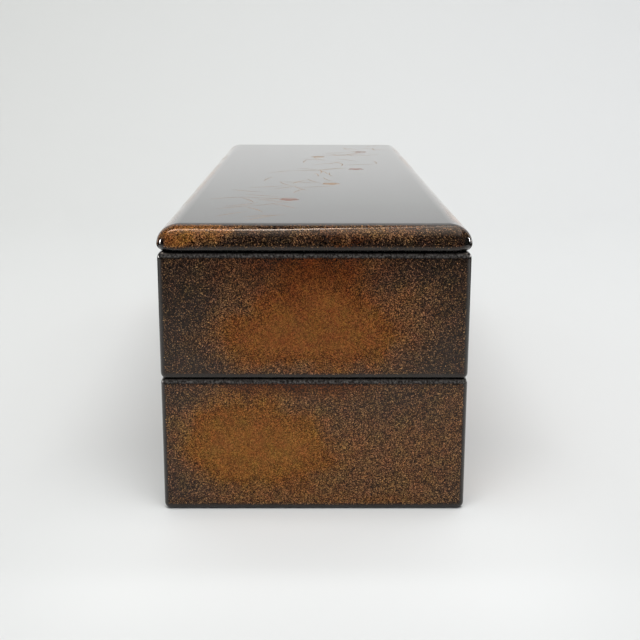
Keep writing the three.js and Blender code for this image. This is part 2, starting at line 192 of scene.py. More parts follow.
# Clouded nashiji: gold and copper-gold powder sifted thickly in drifting clouds and thinly
# between them onto wet black lacquer, then buried under clear amber lacquer and polished flush.
# In the clouds it reads as warm orange-brown, and between them as fine brown sand on black.
# Sizes are in millimetres, and the grains are drawn coarse enough to show one by one.
AMBER_IOR = 1.37
AMBER_FROM = 0.2
POWDER_ROUGHNESS = 0.12
GRAIN = 0.27
FINE_GRAIN = 0.17
FINE_SHARE = 0.55
GRAIN_EDGE = 0.15
GRAIN_RELIEF = 0.006
RICH = (0.1, 0.68)
HUE_SPAN = (0.2, 1.3)
DEEP_SHARE = (0.4, 1.6)
GLITTER = (0.33, 0.81)
GLITTER_TOP = 2.7
EVEN = (0.5, 1.1)
EVEN_TOP = 0.52
HUE_PATCH = 10
TINT_PATCH = 4
TINT_DRIFT = 0.4
GOLDS = linear("785222"), linear("73401f")
YELLOWER_GOLDS = linear("835e29"), linear("764620")
# SHADED_RED_GOLD is a darker, redder copper: partly a real powder, partly painted shade at the top
# of each tier and low on the lid's edge.
SHADED_RED_GOLD = linear("5a2c12")
THIN_GOLD = linear("8e6a49")
THICK_GROUND = linear("41240f")
AMBER_GLOSS = linear("ffc398")
PLAIN_GLOSS = linear("fff4ec")
# WORN_AND_SHEEN_GREY is partly wear and partly a painted sheen: its grey stands in for light
# caught along each tier's rubbed upper edge.
WORN_AND_SHEEN_GREY = linear("555250")
WORN_ROUGHNESS = 0.32
WORN_SHEEN_RIM = (0.95, 0.75)
SCUFF_SHEEN = 0.6
SCUFF_SHEEN_SPAN = (0.38, 0.62)
SCUFF_SHEEN_LEAST = 0.1
WISP = 11
WISP_REACH = 17.0
CLOUD = 48
CLOUD_SPAN = (0.4, 0.66)
SIDE_DENSITY = (0.17, 0.9)
FRONT_REACH = (16, 3)


def cloud(add, place, centre, spread):
    """One cloud of powder, in an ellipsoid of the given spread round its centre.

    With q = (place - centre) / spread, its cover falls smoothly from 1 where |q| is 0.15 to 0
    where |q| is 1.
    """
    away = add("ShaderNodeVectorMath", {0: place, 1: centre}, operation="SUBTRACT")[0]
    away = add("ShaderNodeVectorMath", {0: away, 1: spread}, operation="DIVIDE")[0]
    length = add("ShaderNodeVectorMath", {0: away}, operation="LENGTH")["Value"]
    fade = {"Value": length, "From Min": 1.0, "From Max": 0.15}
    return add("ShaderNodeMapRange", fade, interpolation_type="SMOOTHSTEP")[0]


def grains(add, mm, size, density):
    """Grains in cells of the given size, and each cell's random numbers.

    With r the first of them and e the grain's edge, a cell is lit by a smooth step of
    (1 + e) density - r from 0 to e, so that no cell is lit where the density is 0 and every cell
    where it is 1.
    """
    chance = add("ShaderNodeTexVoronoi", {"Vector": mm, "Scale": 1 / size})["Color"]
    chance = add("ShaderNodeSeparateColor", {0: chance})
    reach = add("ShaderNodeMath", {0: density, 1: 1 + GRAIN_EDGE}, operation="MULTIPLY")[0]
    over = add("ShaderNodeMath", {0: reach, 1: chance[0]}, operation="SUBTRACT")[0]
    rise = {"Value": over, "From Min": 0.0, "From Max": GRAIN_EDGE}
    return add("ShaderNodeMapRange", rise, interpolation_type="SMOOTHSTEP")[0], chance


def nashiji(add, mm, density, golds=GOLDS, worn=0.0, red=0.0):
    """The look of sprinkled lacquer of a given density: grains of gold, with dimmer ones deeper
    down, under a gloss that is amber and soft over thick powder and clear over bare lacquer.

    The powder is richer in colour over the RICH span of densities, and its grains differ in
    brightness from none to GLITTER_TOP, but less over the EVEN span. Where it is worn, handling
    has left it less glossy, and its grey there is a painted sheen that stands in for light caught
    on the rubbed edge. Where it is red, the powder is a darker copper, partly painted shade.
    """
    coarse, chance = grains(add, mm, GRAIN, density)
    fine, fine_chance = grains(add, mm, FINE_GRAIN, density)
    cover = add("ShaderNodeMix", {0: FINE_SHARE, 2: coarse, 3: fine})[0]

    patch = add("ShaderNodeTexNoise", {"Vector": mm, "Scale": 1 / HUE_PATCH, "Detail": 2.0})[0]
    hue = add("ShaderNodeMath", {0: patch, 1: chance[2]}, operation="ADD")[0]
    hue = {"Value": hue, "From Min": HUE_SPAN[0], "From Max": HUE_SPAN[1]}
    hue = add("ShaderNodeMapRange", hue)[0]
    thick = add("ShaderNodeMix", {0: hue, 6: golds[0], 7: golds[1]}, data_type="RGBA")[2]
    rich = {"Value": density, "From Min": RICH[0], "From Max": RICH[1]}
    rich = add("ShaderNodeMapRange", rich)[0]
    gold = add("ShaderNodeMix", {0: rich, 6: THIN_GOLD, 7: thick}, data_type="RGBA")[2]
    # Painted shade in part: the red cloud darkens the powder towards SHADED_RED_GOLD.
    gold = add("ShaderNodeMix", {0: red, 6: gold, 7: SHADED_RED_GOLD}, data_type="RGBA")[2]
    deep = {0: fine_chance[2], 1: DEEP_SHARE[1], 2: DEEP_SHARE[0]}
    deep = add("ShaderNodeMath", deep, operation="MULTIPLY_ADD")[0]
    deep = add("ShaderNodeMath", {0: deep, 1: density}, operation="MULTIPLY")[0]
    ground = add("ShaderNodeMix", {0: deep, 6: BLACK, 7: THICK_GROUND}, data_type="RGBA")[2]
    shade = add("ShaderNodeMix", {0: cover, 6: ground, 7: gold}, data_type="RGBA")[2]

    uneven = add("ShaderNodeMix", {0: 0.5, 2: chance[1], 3: fine_chance[1]})[0]
    bright = {"Value": uneven, "From Min": GLITTER[0], "From Max": GLITTER[1],
              "To Max": GLITTER_TOP}
    bright = add("ShaderNodeMapRange", bright)[0]
    even = {"Value": density, "From Min": EVEN[0], "From Max": EVEN[1], "To Max": EVEN_TOP}
    even = add("ShaderNodeMapRange", even)[0]
    bright = add("ShaderNodeMix", {0: even, 2: bright, 3: 1.0})[0]
    shade = add("ShaderNodeVectorMath", {0: shade, "Scale": bright}, operation="SCALE")[0]
    tint = {"Vector": mm, "Scale": 1 / TINT_PATCH, "Detail": 2.0}
    tint = add("ShaderNodeTexNoise", tint)["Color"]
    tint = add("ShaderNodeVectorMath", {0: tint, 1: (0.5, 0.5, 0.5)}, operation="SUBTRACT")[0]
    tint = {0: tint, 1: (TINT_DRIFT,) * 3, 2: (1.0, 1.0, 1.0)}
    tint = add("ShaderNodeVectorMath", tint, operation="MULTIPLY_ADD")[0]
    shade = add("ShaderNodeVectorMath", {0: shade, 1: tint}, operation="MULTIPLY")[0]

    # Painted sheen: on the worn band the colour turns grey, standing in for light caught on the
    # rubbed edge. Its duller gloss is real wear.
    scuffs_and_sheen = add("ShaderNodeTexNoise", {"Vector": mm, "Scale": 1 / SCUFF_SHEEN, "Detail": 3.0})[0]
    scuffs_and_sheen = {"Value": scuffs_and_sheen, "From Min": SCUFF_SHEEN_SPAN[0], "From Max": SCUFF_SHEEN_SPAN[1],
              "To Min": SCUFF_SHEEN_LEAST}
    scuffs_and_sheen = add("ShaderNodeMapRange", scuffs_and_sheen)[0]
    scuffs_and_sheen = add("ShaderNodeMath", {0: scuffs_and_sheen, 1: worn}, operation="MULTIPLY")[0]
    shade = add("ShaderNodeMix", {0: scuffs_and_sheen, 6: shade, 7: WORN_AND_SHEEN_GREY}, data_type="RGBA")[2]
    matt = {"Value": rich, "To Min": LACQUER_ROUGHNESS, "To Max": POWDER_ROUGHNESS}
    matt = add("ShaderNodeMapRange", matt)[0]
    matt = add("ShaderNodeMix", {0: scuffs_and_sheen, 2: matt, 3: WORN_ROUGHNESS})[0]
    gloss = add("ShaderNodeMix", {0: rich, 6: PLAIN_GLOSS, 7: AMBER_GLOSS}, data_type="RGBA")[2]
    bend = {"Value": density, "From Max": AMBER_FROM, "To Min": LACQUER_IOR, "To Max": AMBER_IOR}
    bend = add("ShaderNodeMapRange", bend)[0]
    relief = {"Height": cover, "Distance": GRAIN_RELIEF * MM, "Normal": hand_wave(add, mm)}
    shader = add("ShaderNodeBsdfPrincipled", {
        "Base Color": shade, "Roughness": matt, "IOR": bend,
        "Specular Tint": gloss, "Normal": add("ShaderNodeBump", relief)[0],
    })[0]
    add("ShaderNodeOutputMaterial", {"Surface": shader})


def clouded_nashiji(name, limits, front_clouds, front_haze, half, golds, rim, red_shade_cloud):
    """The clouded finish of one level of the box, in millimetres of the standing box.

    Powder was sifted thinly everywhere (the haze) and thickly in the clouds: those given on the
    front end, and others that drift elsewhere, all with wispy edges. The limits tell where it
    began and was full: over the foot, under the upper edge, and away from the vertical corners.
    The rim is the height about which the lacquer is worn and painted with a grey sheen, fully
    within a fifth of the reach that WORN_SHEEN_RIM gives and not at all past it. The red cloud is
    where the powder is a darker copper, partly painted shade at the top of each tier and low on
    the lid.
    """
    made, add, mm = new_material(name)
    push = add("ShaderNodeTexNoise", {"Vector": mm, "Scale": 1 / WISP, "Detail": 5.0})["Color"]
    push = add("ShaderNodeVectorMath", {0: push, 1: (0.5, 0.5, 0.5)}, operation="SUBTRACT")[0]
    push = add("ShaderNodeVectorMath", {0: push, "Scale": WISP_REACH}, operation="SCALE")[0]
    drifted = add("ShaderNodeVectorMath", {0: mm, 1: push}, operation="ADD")[0]
    part = add("ShaderNodeSeparateXYZ", {0: mm})

    drift = add("ShaderNodeTexNoise", {"Vector": mm, "Scale": 1 / CLOUD, "Detail": 3.0})[0]
    drift = {"Value": drift, "From Min": CLOUD_SPAN[0], "From Max": CLOUD_SPAN[1],
             "To Min": SIDE_DENSITY[0], "To Max": SIDE_DENSITY[1]}
    elsewhere = add("ShaderNodeMapRange", drift, interpolation_type="SMOOTHSTEP")[0]
    front = front_haze
    for centre, spread, strength in front_clouds:
        cover = cloud(add, drifted, centre, spread)
        front = {0: cover, 1: strength, 2: front}
        front = add("ShaderNodeMath", front, operation="MULTIPLY_ADD")[0]
    near = {"Value": part["Y"], "From Min": FRONT_REACH[0] - half[1],
            "From Max": FRONT_REACH[1] - half[1]}
    near = add("ShaderNodeMapRange", near, interpolation_type="SMOOTHSTEP")[0]
    density = add("ShaderNodeMix", {0: near, 2: elsewhere, 3: front})[0]

    beside = []
    for axis, reach in (("X", half[0]), ("Y", half[1])):
        out = add("ShaderNodeMath", {0: part[axis]}, operation="ABSOLUTE")[0]
        beside.append(add("ShaderNodeMath", {0: reach, 1: out}, operation="SUBTRACT")[0])
    corner = add("ShaderNodeCombineXYZ", {"X": beside[0], "Y": beside[1]})[0]
    corner = add("ShaderNodeVectorMath", {0: corner}, operation="LENGTH")["Value"]
    for value, (none, full) in zip((part["Z"], part["Z"], corner), limits):
        sifted = {"Value": value, "From Min": none, "From Max": full}
        sifted = add("ShaderNodeMapRange", sifted, interpolation_type="SMOOTHSTEP")[0]
        density = add("ShaderNodeMath", {0: density, 1: sifted}, operation="MULTIPLY")[0]

    # The worn band round the rim: real wear, and the place of the painted grey sheen.
    away = add("ShaderNodeMath", {0: part["Z"], 1: rim}, operation="SUBTRACT")[0]
    away = add("ShaderNodeMath", {0: away}, operation="ABSOLUTE")[0]
    worn = {"Value": away, "From Min": WORN_SHEEN_RIM[1], "From Max": 0.2 * WORN_SHEEN_RIM[1]}
    worn = add("ShaderNodeMapRange", worn, interpolation_type="SMOOTHSTEP")[0]
    nashiji(add, mm, density, golds, worn, cloud(add, drifted, *red_shade_cloud))
    return made


# The insides are dusted thinly and evenly with the same powder.
DUST = 0.22
DUST_PATCH = 30


def dusted_nashiji():
    """Thin powder of a density that wanders about that of the dust."""
    made, add, mm = new_material("thin_nashiji_inside")
    even = add("ShaderNodeTexNoise", {"Vector": mm, "Scale": 1 / DUST_PATCH, "Detail": 2.0})[0]
    density = add("ShaderNodeMath", {0: even, 1: 2 * DUST}, operation="MULTIPLY")[0]
    nashiji(add, mm, density)
    return made


DUSTED_NASHIJI = dusted_nashiji()

# Each tier's case and lip follow the frame's boards, with edges and corners rubbed round. The
# bands tell over what heights, and how far from the corners, the powder sets in.
INNER_FILLET = 0.4 * MM
EDGE_FILLET = 0.15 * MM
TIER_CORNER = 2.0 * MM
SHOULDER = np.array([1.3, 1.9]) * MM
CLOUDED_PAST = 0.4 * MM
LIP_EDGE = 0.5 * MM
FOOT_BAND = np.array([0.6, 1.25])
HEAD_BAND = np.array([0.95, 2.2])
CORNER_BAND = (0.85, 1.6)
SIDES = ["left", "right", "front", "back"]


def tier_case(name, foot, front_clouds, front_haze, golds, red_shade_cloud):
    """The lacquered case of one tier: outer wall, rebate for the lip, inner wall, and rebate for
    the bottom board, carried round the tier as one closed ring. It is clouded outside, as far as
    its soft upper edge goes in, and plain black from there on."""
    low, left_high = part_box(f"{name}_wall_left")
    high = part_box(f"{name}_wall_right")[1]
    lip_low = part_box(f"{name}_lip_left")[0]
    board_low, board_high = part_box(f"{name}_bottom")
    wall = left_high[0] - low[0]
    seat = lip_low[0] - low[0]
    rebate = board_low[0] - low[0]
    fillet = (EDGE_FILLET, EDGE_FILLET)
    corners = [
        (0, low[2]), (0, high[2]), (seat, high[2]), (seat, lip_low[2]), (wall, lip_low[2]),
        (wall, board_high[2]), (rebate, board_high[2]), (rebate, low[2]),
    ]
    profile = soften(corners, [foot, SHOULDER[::-1], *[fillet] * 6]).reshape(-1, 2)
    grid = carry(profile, high, TIER_CORNER, INNER_FILLET)
    limits = [(low[2] + foot[1] * FOOT_BAND) / MM, high[2] / MM - HEAD_BAND, CORNER_BAND]
    outside = clouded_nashiji(f"clouded_nashiji_{name}", limits, front_clouds, front_haze,
                              (high[0] / MM, high[1] / MM), golds, high[2] / MM - WORN_SHEEN_RIM[0],
                              red_shade_cloud)
    made = piece(f"{name}_case", grid, f"{name}_tier", outside,
                 [f"{name}_wall_{side}" for side in SIDES])
    made.data.materials.append(ROIRO_URUSHI)
    inset = (profile[:, 0] + np.roll(profile[:, 0], -1)) / 2
    inner = np.repeat((inset > SHOULDER[0] + CLOUDED_PAST).astype(np.int32), grid.shape[1])
    made.data.polygons.foreach_set("material_index", inner)
    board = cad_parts[f"{name}_bottom"].data.materials
    board.clear()
    board.append(DUSTED_NASHIJI)


def tier_lip(name):
    """The lip: four thin strips let into the rebate, lacquered over as one ring that stands up
    out of the tier with a rounded rim."""
    low, left_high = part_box(f"{name}_lip_left")
    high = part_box(f"{name}_lip_right")[1]
    thick = left_high[0] - low[0]
    fillet, round_off = (EDGE_FILLET, EDGE_FILLET), (LIP_EDGE, LIP_EDGE)
    corners = [(0, low[2]), (0, high[2]), (thick, high[2]), (thick, low[2])]
    profile = soften(corners, [fillet, round_off, round_off, fillet]).reshape(-1, 2)
    grid = carry(profile, high, INNER_FILLET, INNER_FILLET)
    piece(f"{name}_lip_ring", grid, f"{name}_tier", ROIRO_URUSHI,
          [f"{name}_lip_{side}" for side in SIDES])


LOWER_FOOT = np.array([1.5, 1.8]) * MM
LOWER_CLOUDS = [
    ((-19, -140, 20), (28, 40, 20), 0.82),
    ((-2, -140, 14), (18, 40, 13), 0.25),
    ((6, -140, 22), (16, 40, 18), 0.15),
    ((26, -140, 14), (28, 40, 22), 0.2),
    ((0, -140, 2), (50, 40, 9), 0.26),
    ((-4, -140, 37), (44, 40, 8), 0.2),
    ((40, -140, 30), (14, 40, 20), 0.1),
]
LOWER_HAZE = 0.2
# The lower tier's red cloud along its top, under the upper tier: partly copper powder, partly
# painted shade.
LOWER_RED_SHADE = ((-6, -140, 38), (44, 30, 7))
tier_case("lower", LOWER_FOOT, LOWER_CLOUDS, LOWER_HAZE, YELLOWER_GOLDS, LOWER_RED_SHADE)
tier_lip("lower")

# Upper tier: made like the lower one, but its bottom board is let in higher up, so that a
# hollow is left under it for the lower tier's lip.
UPPER_FOOT = np.array([0.9, 1.45]) * MM
UPPER_CLOUDS = [
    ((1, -140, 54), (36, 40, 21), 0.9),
    ((-17, -140, 52), (20, 40, 15), 0.22),
    ((-6, -140, 70), (24, 40, 9), 0.1),
    ((-24, -140, 68), (12, 40, 8), 0.14),
    ((4, -140, 71), (24, 40, 9), 0.26),
    ((30, -140, 58), (18, 40, 12), 0.1),
]
UPPER_HAZE = 0.15
# The upper tier's red cloud towards its top, under the lid: partly copper powder, partly painted
# shade.
UPPER_RED_SHADE = ((-2, -140, 74), (38, 30, 18))
tier_case("upper", UPPER_FOOT, UPPER_CLOUDS, UPPER_HAZE, GOLDS, UPPER_RED_SHADE)
tier_lip("upper")

# Tray: thin boards glued round a floor board and lacquered over, so that no joint shows. It
# drops into the upper tier, and its dividers and notched rests are let into its walls.
TRAY_CORNER = 1.2 * MM
TRAY_EDGE = 0.6 * MM
CAP_INSET = 3 * MM


def tray_case():
    """The tray's shell: a profile from under the floor, up the outer wall, over the rim and down
    onto the floor, carried round and closed by two flat caps."""
    floor_low, floor_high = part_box("tray_floor")
    low, left_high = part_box("tray_wall_left")
    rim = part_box("tray_wall_right")[1]
    wall = left_high[0] - low[0]
    deep = wall + CAP_INSET
    fillet, round_off = (EDGE_FILLET, EDGE_FILLET), (TRAY_EDGE, TRAY_EDGE)
    corners = [
        (deep, floor_low[2]), (0, floor_low[2]), (0, rim[2]), (wall, rim[2]),
        (wall, floor_high[2]), (deep, floor_high[2]),
    ]
    setbacks = [fillet, round_off, round_off, round_off, fillet, fillet]
    arcs = soften(corners, setbacks)[1:-1].reshape(-1, 2)
    profile = np.vstack([corners[0], arcs, corners[-1]])
    grid = carry(profile, rim, TRAY_CORNER, INNER_FILLET)
    nodes = ["tray_floor"] + [f"tray_wall_{side}" for side in SIDES]
    piece("tray_case", grid, "tray", DUSTED_NASHIJI, nodes, wrap=False, caps=True)


tray_case()
for name in ("tray_long_divider", "tray_stone_divider", "tray_dropper_divider",
             "brush_rest_front", "brush_rest_back"):
    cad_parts[name].data.materials.clear()
    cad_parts[name].data.materials.append(ROIRO_URUSHI)

# Inkstone: one block of blue-black slate, cut, hollowed and rubbed smooth with finer stones. It
# is matt, with faint bedding bands and pale mineral specks. The slight sheen it takes where ink
# is ground is not drawn.
SLATE = linear("33373b")
SLATE_BAND = linear("3e4347")
SLATE_SPECK = linear("6f746f")
BEDDING = 3.5
BED_WARP = 25
BED_LIFT = 12.0
SPECK_CELL = 1.1
GRIT = 0.6
GRIT_HEIGHT = 0.03


def slate():
    """Bedding bands that run level but warped, and specks in a few cells of a millimetre."""
    made, add, mm = new_material("rubbed_slate")
    warp = add("ShaderNodeTexNoise", {"Vector": mm, "Scale": 1 / BED_WARP, "Detail": 2.0})[0]
    z = add("ShaderNodeSeparateXYZ", {0: mm})["Z"]
    level = add("ShaderNodeMath", {0: warp, 1: BED_LIFT, 2: z}, operation="MULTIPLY_ADD")[0]
    bed = add("ShaderNodeTexNoise", {"W": level, "Scale": 1 / BEDDING}, noise_dimensions="1D")[0]
    shade = add("ShaderNodeMix", {0: bed, 6: SLATE, 7: SLATE_BAND}, data_type="RGBA")[2]
    speck = add("ShaderNodeTexVoronoi", {"Vector": mm, "Scale": 1 / SPECK_CELL})["Color"]
    speck = add("ShaderNodeSeparateColor", {0: speck})[0]
    speck = {"Value": speck, "From Min": 0.93, "From Max": 1.0, "To Max": 0.6}
    speck = add("ShaderNodeMapRange", speck)[0]
    shade = add("ShaderNodeMix", {0: speck, 6: shade, 7: SLATE_SPECK}, data_type="RGBA")[2]
    grit = add("ShaderNodeTexNoise", {"Vector": mm, "Scale": 1 / GRIT, "Detail": 3.0})[0]
    rough = add("ShaderNodeMapRange", {"Value": bed, "To Min": 0.5, "To Max": 0.68})[0]
    shader = add("ShaderNodeBsdfPrincipled", {
        "Base Color": shade, "Roughness": rough, "IOR": 1.5,
        "Normal": add("ShaderNodeBump", {"Height": grit, "Distance": GRIT_HEIGHT * MM})[0],
    })[0]
    add("ShaderNodeOutputMaterial", {"Surface": shader})
    return made


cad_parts["inkstone"].data.materials.clear()
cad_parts["inkstone"].data.materials.append(slate())

# Water dropper: a small raised vessel of sheet copper with a top plate, spout and air hole
# soldered on. It is burnished and has gone brown, with redder and darker patches of patina.
COPPER = linear("b0683f")
COPPER_BROWN = linear("6b3b24")
PATINA = 9
HAMMER = 3.2
HAMMER_HEIGHT = 0.12


def copper():
    """Patches of patina, brown and less shiny than the bare copper, over faint hammer marks."""
    made, add, mm = new_material("patinated_copper")
    patina = add("ShaderNodeTexNoise", {"Vector": mm, "Scale": 1 / PATINA, "Detail": 6.0})[0]
    patina = {"Value": patina, "From Min": 0.35, "From Max": 0.62}
    patina = add("ShaderNodeMapRange", patina, interpolation_type="SMOOTHSTEP")[0]
    shade = add("ShaderNodeMix", {0: patina, 6: COPPER, 7: COPPER_BROWN}, data_type="RGBA")[2]
    hammer = add("ShaderNodeTexVoronoi", {"Vector": mm, "Scale": 1 / HAMMER},
                 feature="SMOOTH_F1")["Distance"]
    rough = add("ShaderNodeMapRange", {"Value": patina, "To Min": 0.26, "To Max": 0.48})[0]
    shader = add("ShaderNodeBsdfPrincipled", {
        "Base Color": shade, "Metallic": 1.0, "Roughness": rough,
        "Normal": add("ShaderNodeBump", {"Height": hammer, "Distance": HAMMER_HEIGHT * MM})[0],
    })[0]
    add("ShaderNodeOutputMaterial", {"Surface": shader})
    return made


COPPER_SHEET = copper()
for name in ("water_dropper_vessel", "water_dropper_top"):
    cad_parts[name].data.materials.clear()
    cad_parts[name].data.materials.append(COPPER_SHEET)

# Ink stick: lampblack and hide glue pressed in a wooden mould and dried. It is brown-black with
# a soft sheen from handling, and duller and greyer at the end worn slanting on the stone.
INK = linear("1d1b1d")
WORN_INK = linear("2f2d2f")
WORN_END = (49.0, 45.0)
INK_CLOUD = 5
INK_CLOUDINESS = 0.35
INK_RELIEF = 0.1


def pressed_ink():
    """Cloudy black that turns greyer and duller over the few millimetres before the worn end."""
    made, add, mm = new_material("pressed_ink")
    y = add("ShaderNodeSeparateXYZ", {0: mm})["Y"]
    worn = {"Value": y, "From Min": WORN_END[0], "From Max": WORN_END[1]}
    worn = add("ShaderNodeMapRange", worn, interpolation_type="SMOOTHSTEP")[0]
    cloudy = add("ShaderNodeTexNoise", {"Vector": mm, "Scale": 1 / INK_CLOUD, "Detail": 4.0})[0]
    cloudy = {0: cloudy, 1: INK_CLOUDINESS, 2: worn}
    cloudy = add("ShaderNodeMath", cloudy, operation="MULTIPLY_ADD")[0]
    shade = add("ShaderNodeMix", {0: cloudy, 6: INK, 7: WORN_INK}, data_type="RGBA")[2]
    rough = {"Value": worn, "To Min": 0.34, "To Max": 0.62}
    shader = add("ShaderNodeBsdfPrincipled", {
        "Base Color": shade, "Roughness": add("ShaderNodeMapRange", rough)[0], "IOR": 1.5,
        "Normal": add("ShaderNodeBump", {"Height": cloudy, "Distance": INK_RELIEF * MM})[0],
    })[0]
    add("ShaderNodeOutputMaterial", {"Surface": shader})
    return made


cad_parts["ink_stick"].data.materials.clear()
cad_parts["ink_stick"].data.materials.append(pressed_ink())

# Brushes: a slim bamboo cane with two nodes, bored at the front for the tied root of the hair
# and plugged with turned horn at the back. The hair swells at the belly and runs to a point.
SHAFT_RADIUS = 4.2 * MM
SHAFT_TAPER = 0.5 * MM
SHAFT_STEPS = 160
ROUND_STEPS = 48
MOUTH_ROUND = np.array([[0.3, 0.0], [0.08, 0.35], [0.0, 1.0]]) * MM
REAR_ROUND = np.array([[0.0, 0.6], [0.12, 0.2], [0.5, 0.0]]) * MM
NODES = [0.38, 0.8]
NODE_RIDGE = 0.25 * MM
NODE_WIDTH = 0.9 * MM
SOCKET = (3.1 * MM, 10.0 * MM)
PLUG_BORE = (2.2 * MM, 6.0 * MM)
POLE = 0.02 * MM
HAIR_BELLY = 3.9 * MM
ROOT_GAP = 0.15 * MM
ROOT_OUT = 0.3 * MM
BAMBOO_PALE = linear("c9a566")
BAMBOO_DARK = linear("9a7038")
NODE_BROWN = linear("6d4a24")
HAIR_PALE = linear("d8c49c")
HAIR_DARK = linear("8f6f47")
HORN = linear("2a1b12")
HORN_STREAK = linear("6b4526")
FIBRE = (28, 0.35)
FIBRE_HEIGHT = 0.05
STRAND = (40, 0.22)
STRAND_HEIGHT = 0.15
STREAK = (7, 1.2)
NODE_STAIN = (0.9, 0.25)
NODE_STAIN_TOP = 0.8


def turned(name, profile, node, material):
    """A profile of (radius, y) in metres turned about the middle line of its CAD node.

    At angle q the point is (x0 + r sin q, y, z0 + r cos q), and a flat cap closes each end.
    """
    low, high = (np.array(corner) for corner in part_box(node))
    middle = (low + high) / 2
    radius, y = np.asarray(profile, float).T[:, :, None]
    q = np.linspace(0, 2 * np.pi, ROUND_STEPS, endpoint=False)
    x = middle[0] + radius * np.sin(q)
    z = middle[2] + radius * np.cos(q)
    grid = np.stack(np.broadcast_arrays(x, y, z), axis=-1)
    piece(name, grid, node.rsplit("_", 1)[0], material, [node], wrap=False, caps=True)


def shaft(side):
    """The cane: with s running from 0 at the hair to 1 at the plug, its radius is
    R - taper s, with a ridge exp(-(y - y_node)^2 / w^2) at each node, and a bore at each end.

    Each point that rounds off its mouth or its rear is given as how far it lies in from the
    cane's surface and in from that end. The long side runs between the innermost two.
    """
    node = f"brush_{side}_shaft"
    low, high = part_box(node)
    front, back = low[1], high[1]
    y = np.linspace(front + MOUTH_ROUND[-1, 1], back - REAR_ROUND[0, 1], SHAFT_STEPS)
    share = (y - front) / (back - front)
    radius = SHAFT_RADIUS - SHAFT_TAPER * share
    for place in NODES:
        away = (y - front - place * (back - front)) / NODE_WIDTH
        radius += NODE_RIDGE * np.exp(-away ** 2)
    rear = radius[-1]
    before = [
        (POLE, front + SOCKET[1]), (SOCKET[0], front + SOCKET[1]), (SOCKET[0], front),
        *((SHAFT_RADIUS - inset, front + along) for inset, along in MOUTH_ROUND[:-1]),
    ]
    after = [
        *((rear - inset, back - along) for inset, along in REAR_ROUND[1:]),
        (PLUG_BORE[0], back), (PLUG_BORE[0], back - PLUG_BORE[1]), (POLE, back - PLUG_BORE[1]),
    ]
    turned(node.replace("shaft", "cane"), [*before, *zip(radius, y), *after], node,
           BAMBOO)


def hair(side):
    """The hair: with t from 0 at the cane to 1 at the point, its radius is the belly's times
    c t^0.45 (1 - t)^1.04, which swells to 1 at t = 0.3, and its root fills the cane's socket."""
    node = f"brush_{side}_hair"
    low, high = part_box(node)
    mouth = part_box(f"brush_{side}_shaft")[0][1]
    t = np.linspace(1, 0.03, 48)
    swell = t ** 0.45 * (1 - t) ** 1.04 / (0.3 ** 0.45 * 0.7 ** 1.04)
    radius = np.maximum(HAIR_BELLY * swell, POLE)
    y = mouth - t * (mouth - low[1])
    root = min(radius[-1], SOCKET[0] - ROOT_GAP)
    tied = [(root, mouth - ROOT_OUT), (root, high[1]), (POLE, high[1])]
    turned(node.replace("hair", "tuft"), [*zip(radius, y), *tied], node, BRUSH_HAIR)


def fibrous(add, mm, length, width):
    """Streaks along the brush, of a length and a width in millimetres."""
    along = {"Vector": mm, "Scale": (1 / width, 1 / length, 1 / width)}
    along = add("ShaderNodeMapping", along)[0]
    return add("ShaderNodeTexNoise", {"Vector": along, "Scale": 1.0, "Detail": 3.0})[0]


def bamboo():
    """Fibres of two tones, browned in a ring at each node of the cane."""
    made, add, mm = new_material("oiled_bamboo")
    streak = fibrous(add, mm, *FIBRE)
    shade = add("ShaderNodeMix", {0: streak, 6: BAMBOO_DARK, 7: BAMBOO_PALE}, data_type="RGBA")[2]
    y = add("ShaderNodeSeparateXYZ", {0: mm})["Y"]
    low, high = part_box("brush_left_shaft")
    for place in NODES:
        ring = (low[1] + place * (high[1] - low[1])) / MM
        away = add("ShaderNodeMath", {0: y, 1: ring}, operation="SUBTRACT")[0]
        away = add("ShaderNodeMath", {0: away}, operation="ABSOLUTE")[0]
        dark = {"Value": away, "From Min": NODE_STAIN[0], "From Max": NODE_STAIN[1],
                "To Max": NODE_STAIN_TOP}
        dark = add("ShaderNodeMapRange", dark, interpolation_type="SMOOTHSTEP")[0]
        shade = add("ShaderNodeMix", {0: dark, 6: shade, 7: NODE_BROWN}, data_type="RGBA")[2]
    shader = add("ShaderNodeBsdfPrincipled", {
        "Base Color": shade, "Roughness": 0.34, "IOR": 1.48,
        "Normal": add("ShaderNodeBump", {"Height": streak, "Distance": FIBRE_HEIGHT * MM})[0],
    })[0]
    add("ShaderNodeOutputMaterial", {"Surface": shader})
    return made


def brush_hair():
    """Strands of two tones, raised a little over each other, with a soft sheen. Each strand stands
    for a few hairs, because a single one is too fine to show."""
    made, add, mm = new_material("goat_hair")
    strand = fibrous(add, mm, *STRAND)
    shade = add("ShaderNodeMix", {0: strand, 6: HAIR_DARK, 7: HAIR_PALE}, data_type="RGBA")[2]
    shader = add("ShaderNodeBsdfPrincipled", {
        "Base Color": shade, "Roughness": 0.7, "Sheen Weight": 0.3,
        "Normal": add("ShaderNodeBump", {"Height": strand, "Distance": STRAND_HEIGHT * MM})[0],
    })[0]
    add("ShaderNodeOutputMaterial", {"Surface": shader})
    return made


def horn():
    """Dark polished horn with a few paler streaks."""
    made, add, mm = new_material("polished_horn")
    streak = fibrous(add, mm, *STREAK)
    streak = {"Value": streak, "From Min": 0.45, "From Max": 0.75}
    streak = add("ShaderNodeMapRange", streak)[0]
    shade = add("ShaderNodeMix", {0: streak, 6: HORN, 7: HORN_STREAK}, data_type="RGBA")[2]
    shader = add("ShaderNodeBsdfPrincipled", {
        "Base Color": shade, "Roughness": 0.18, "IOR": 1.54})[0]
    add("ShaderNodeOutputMaterial", {"Surface": shader})
    return made


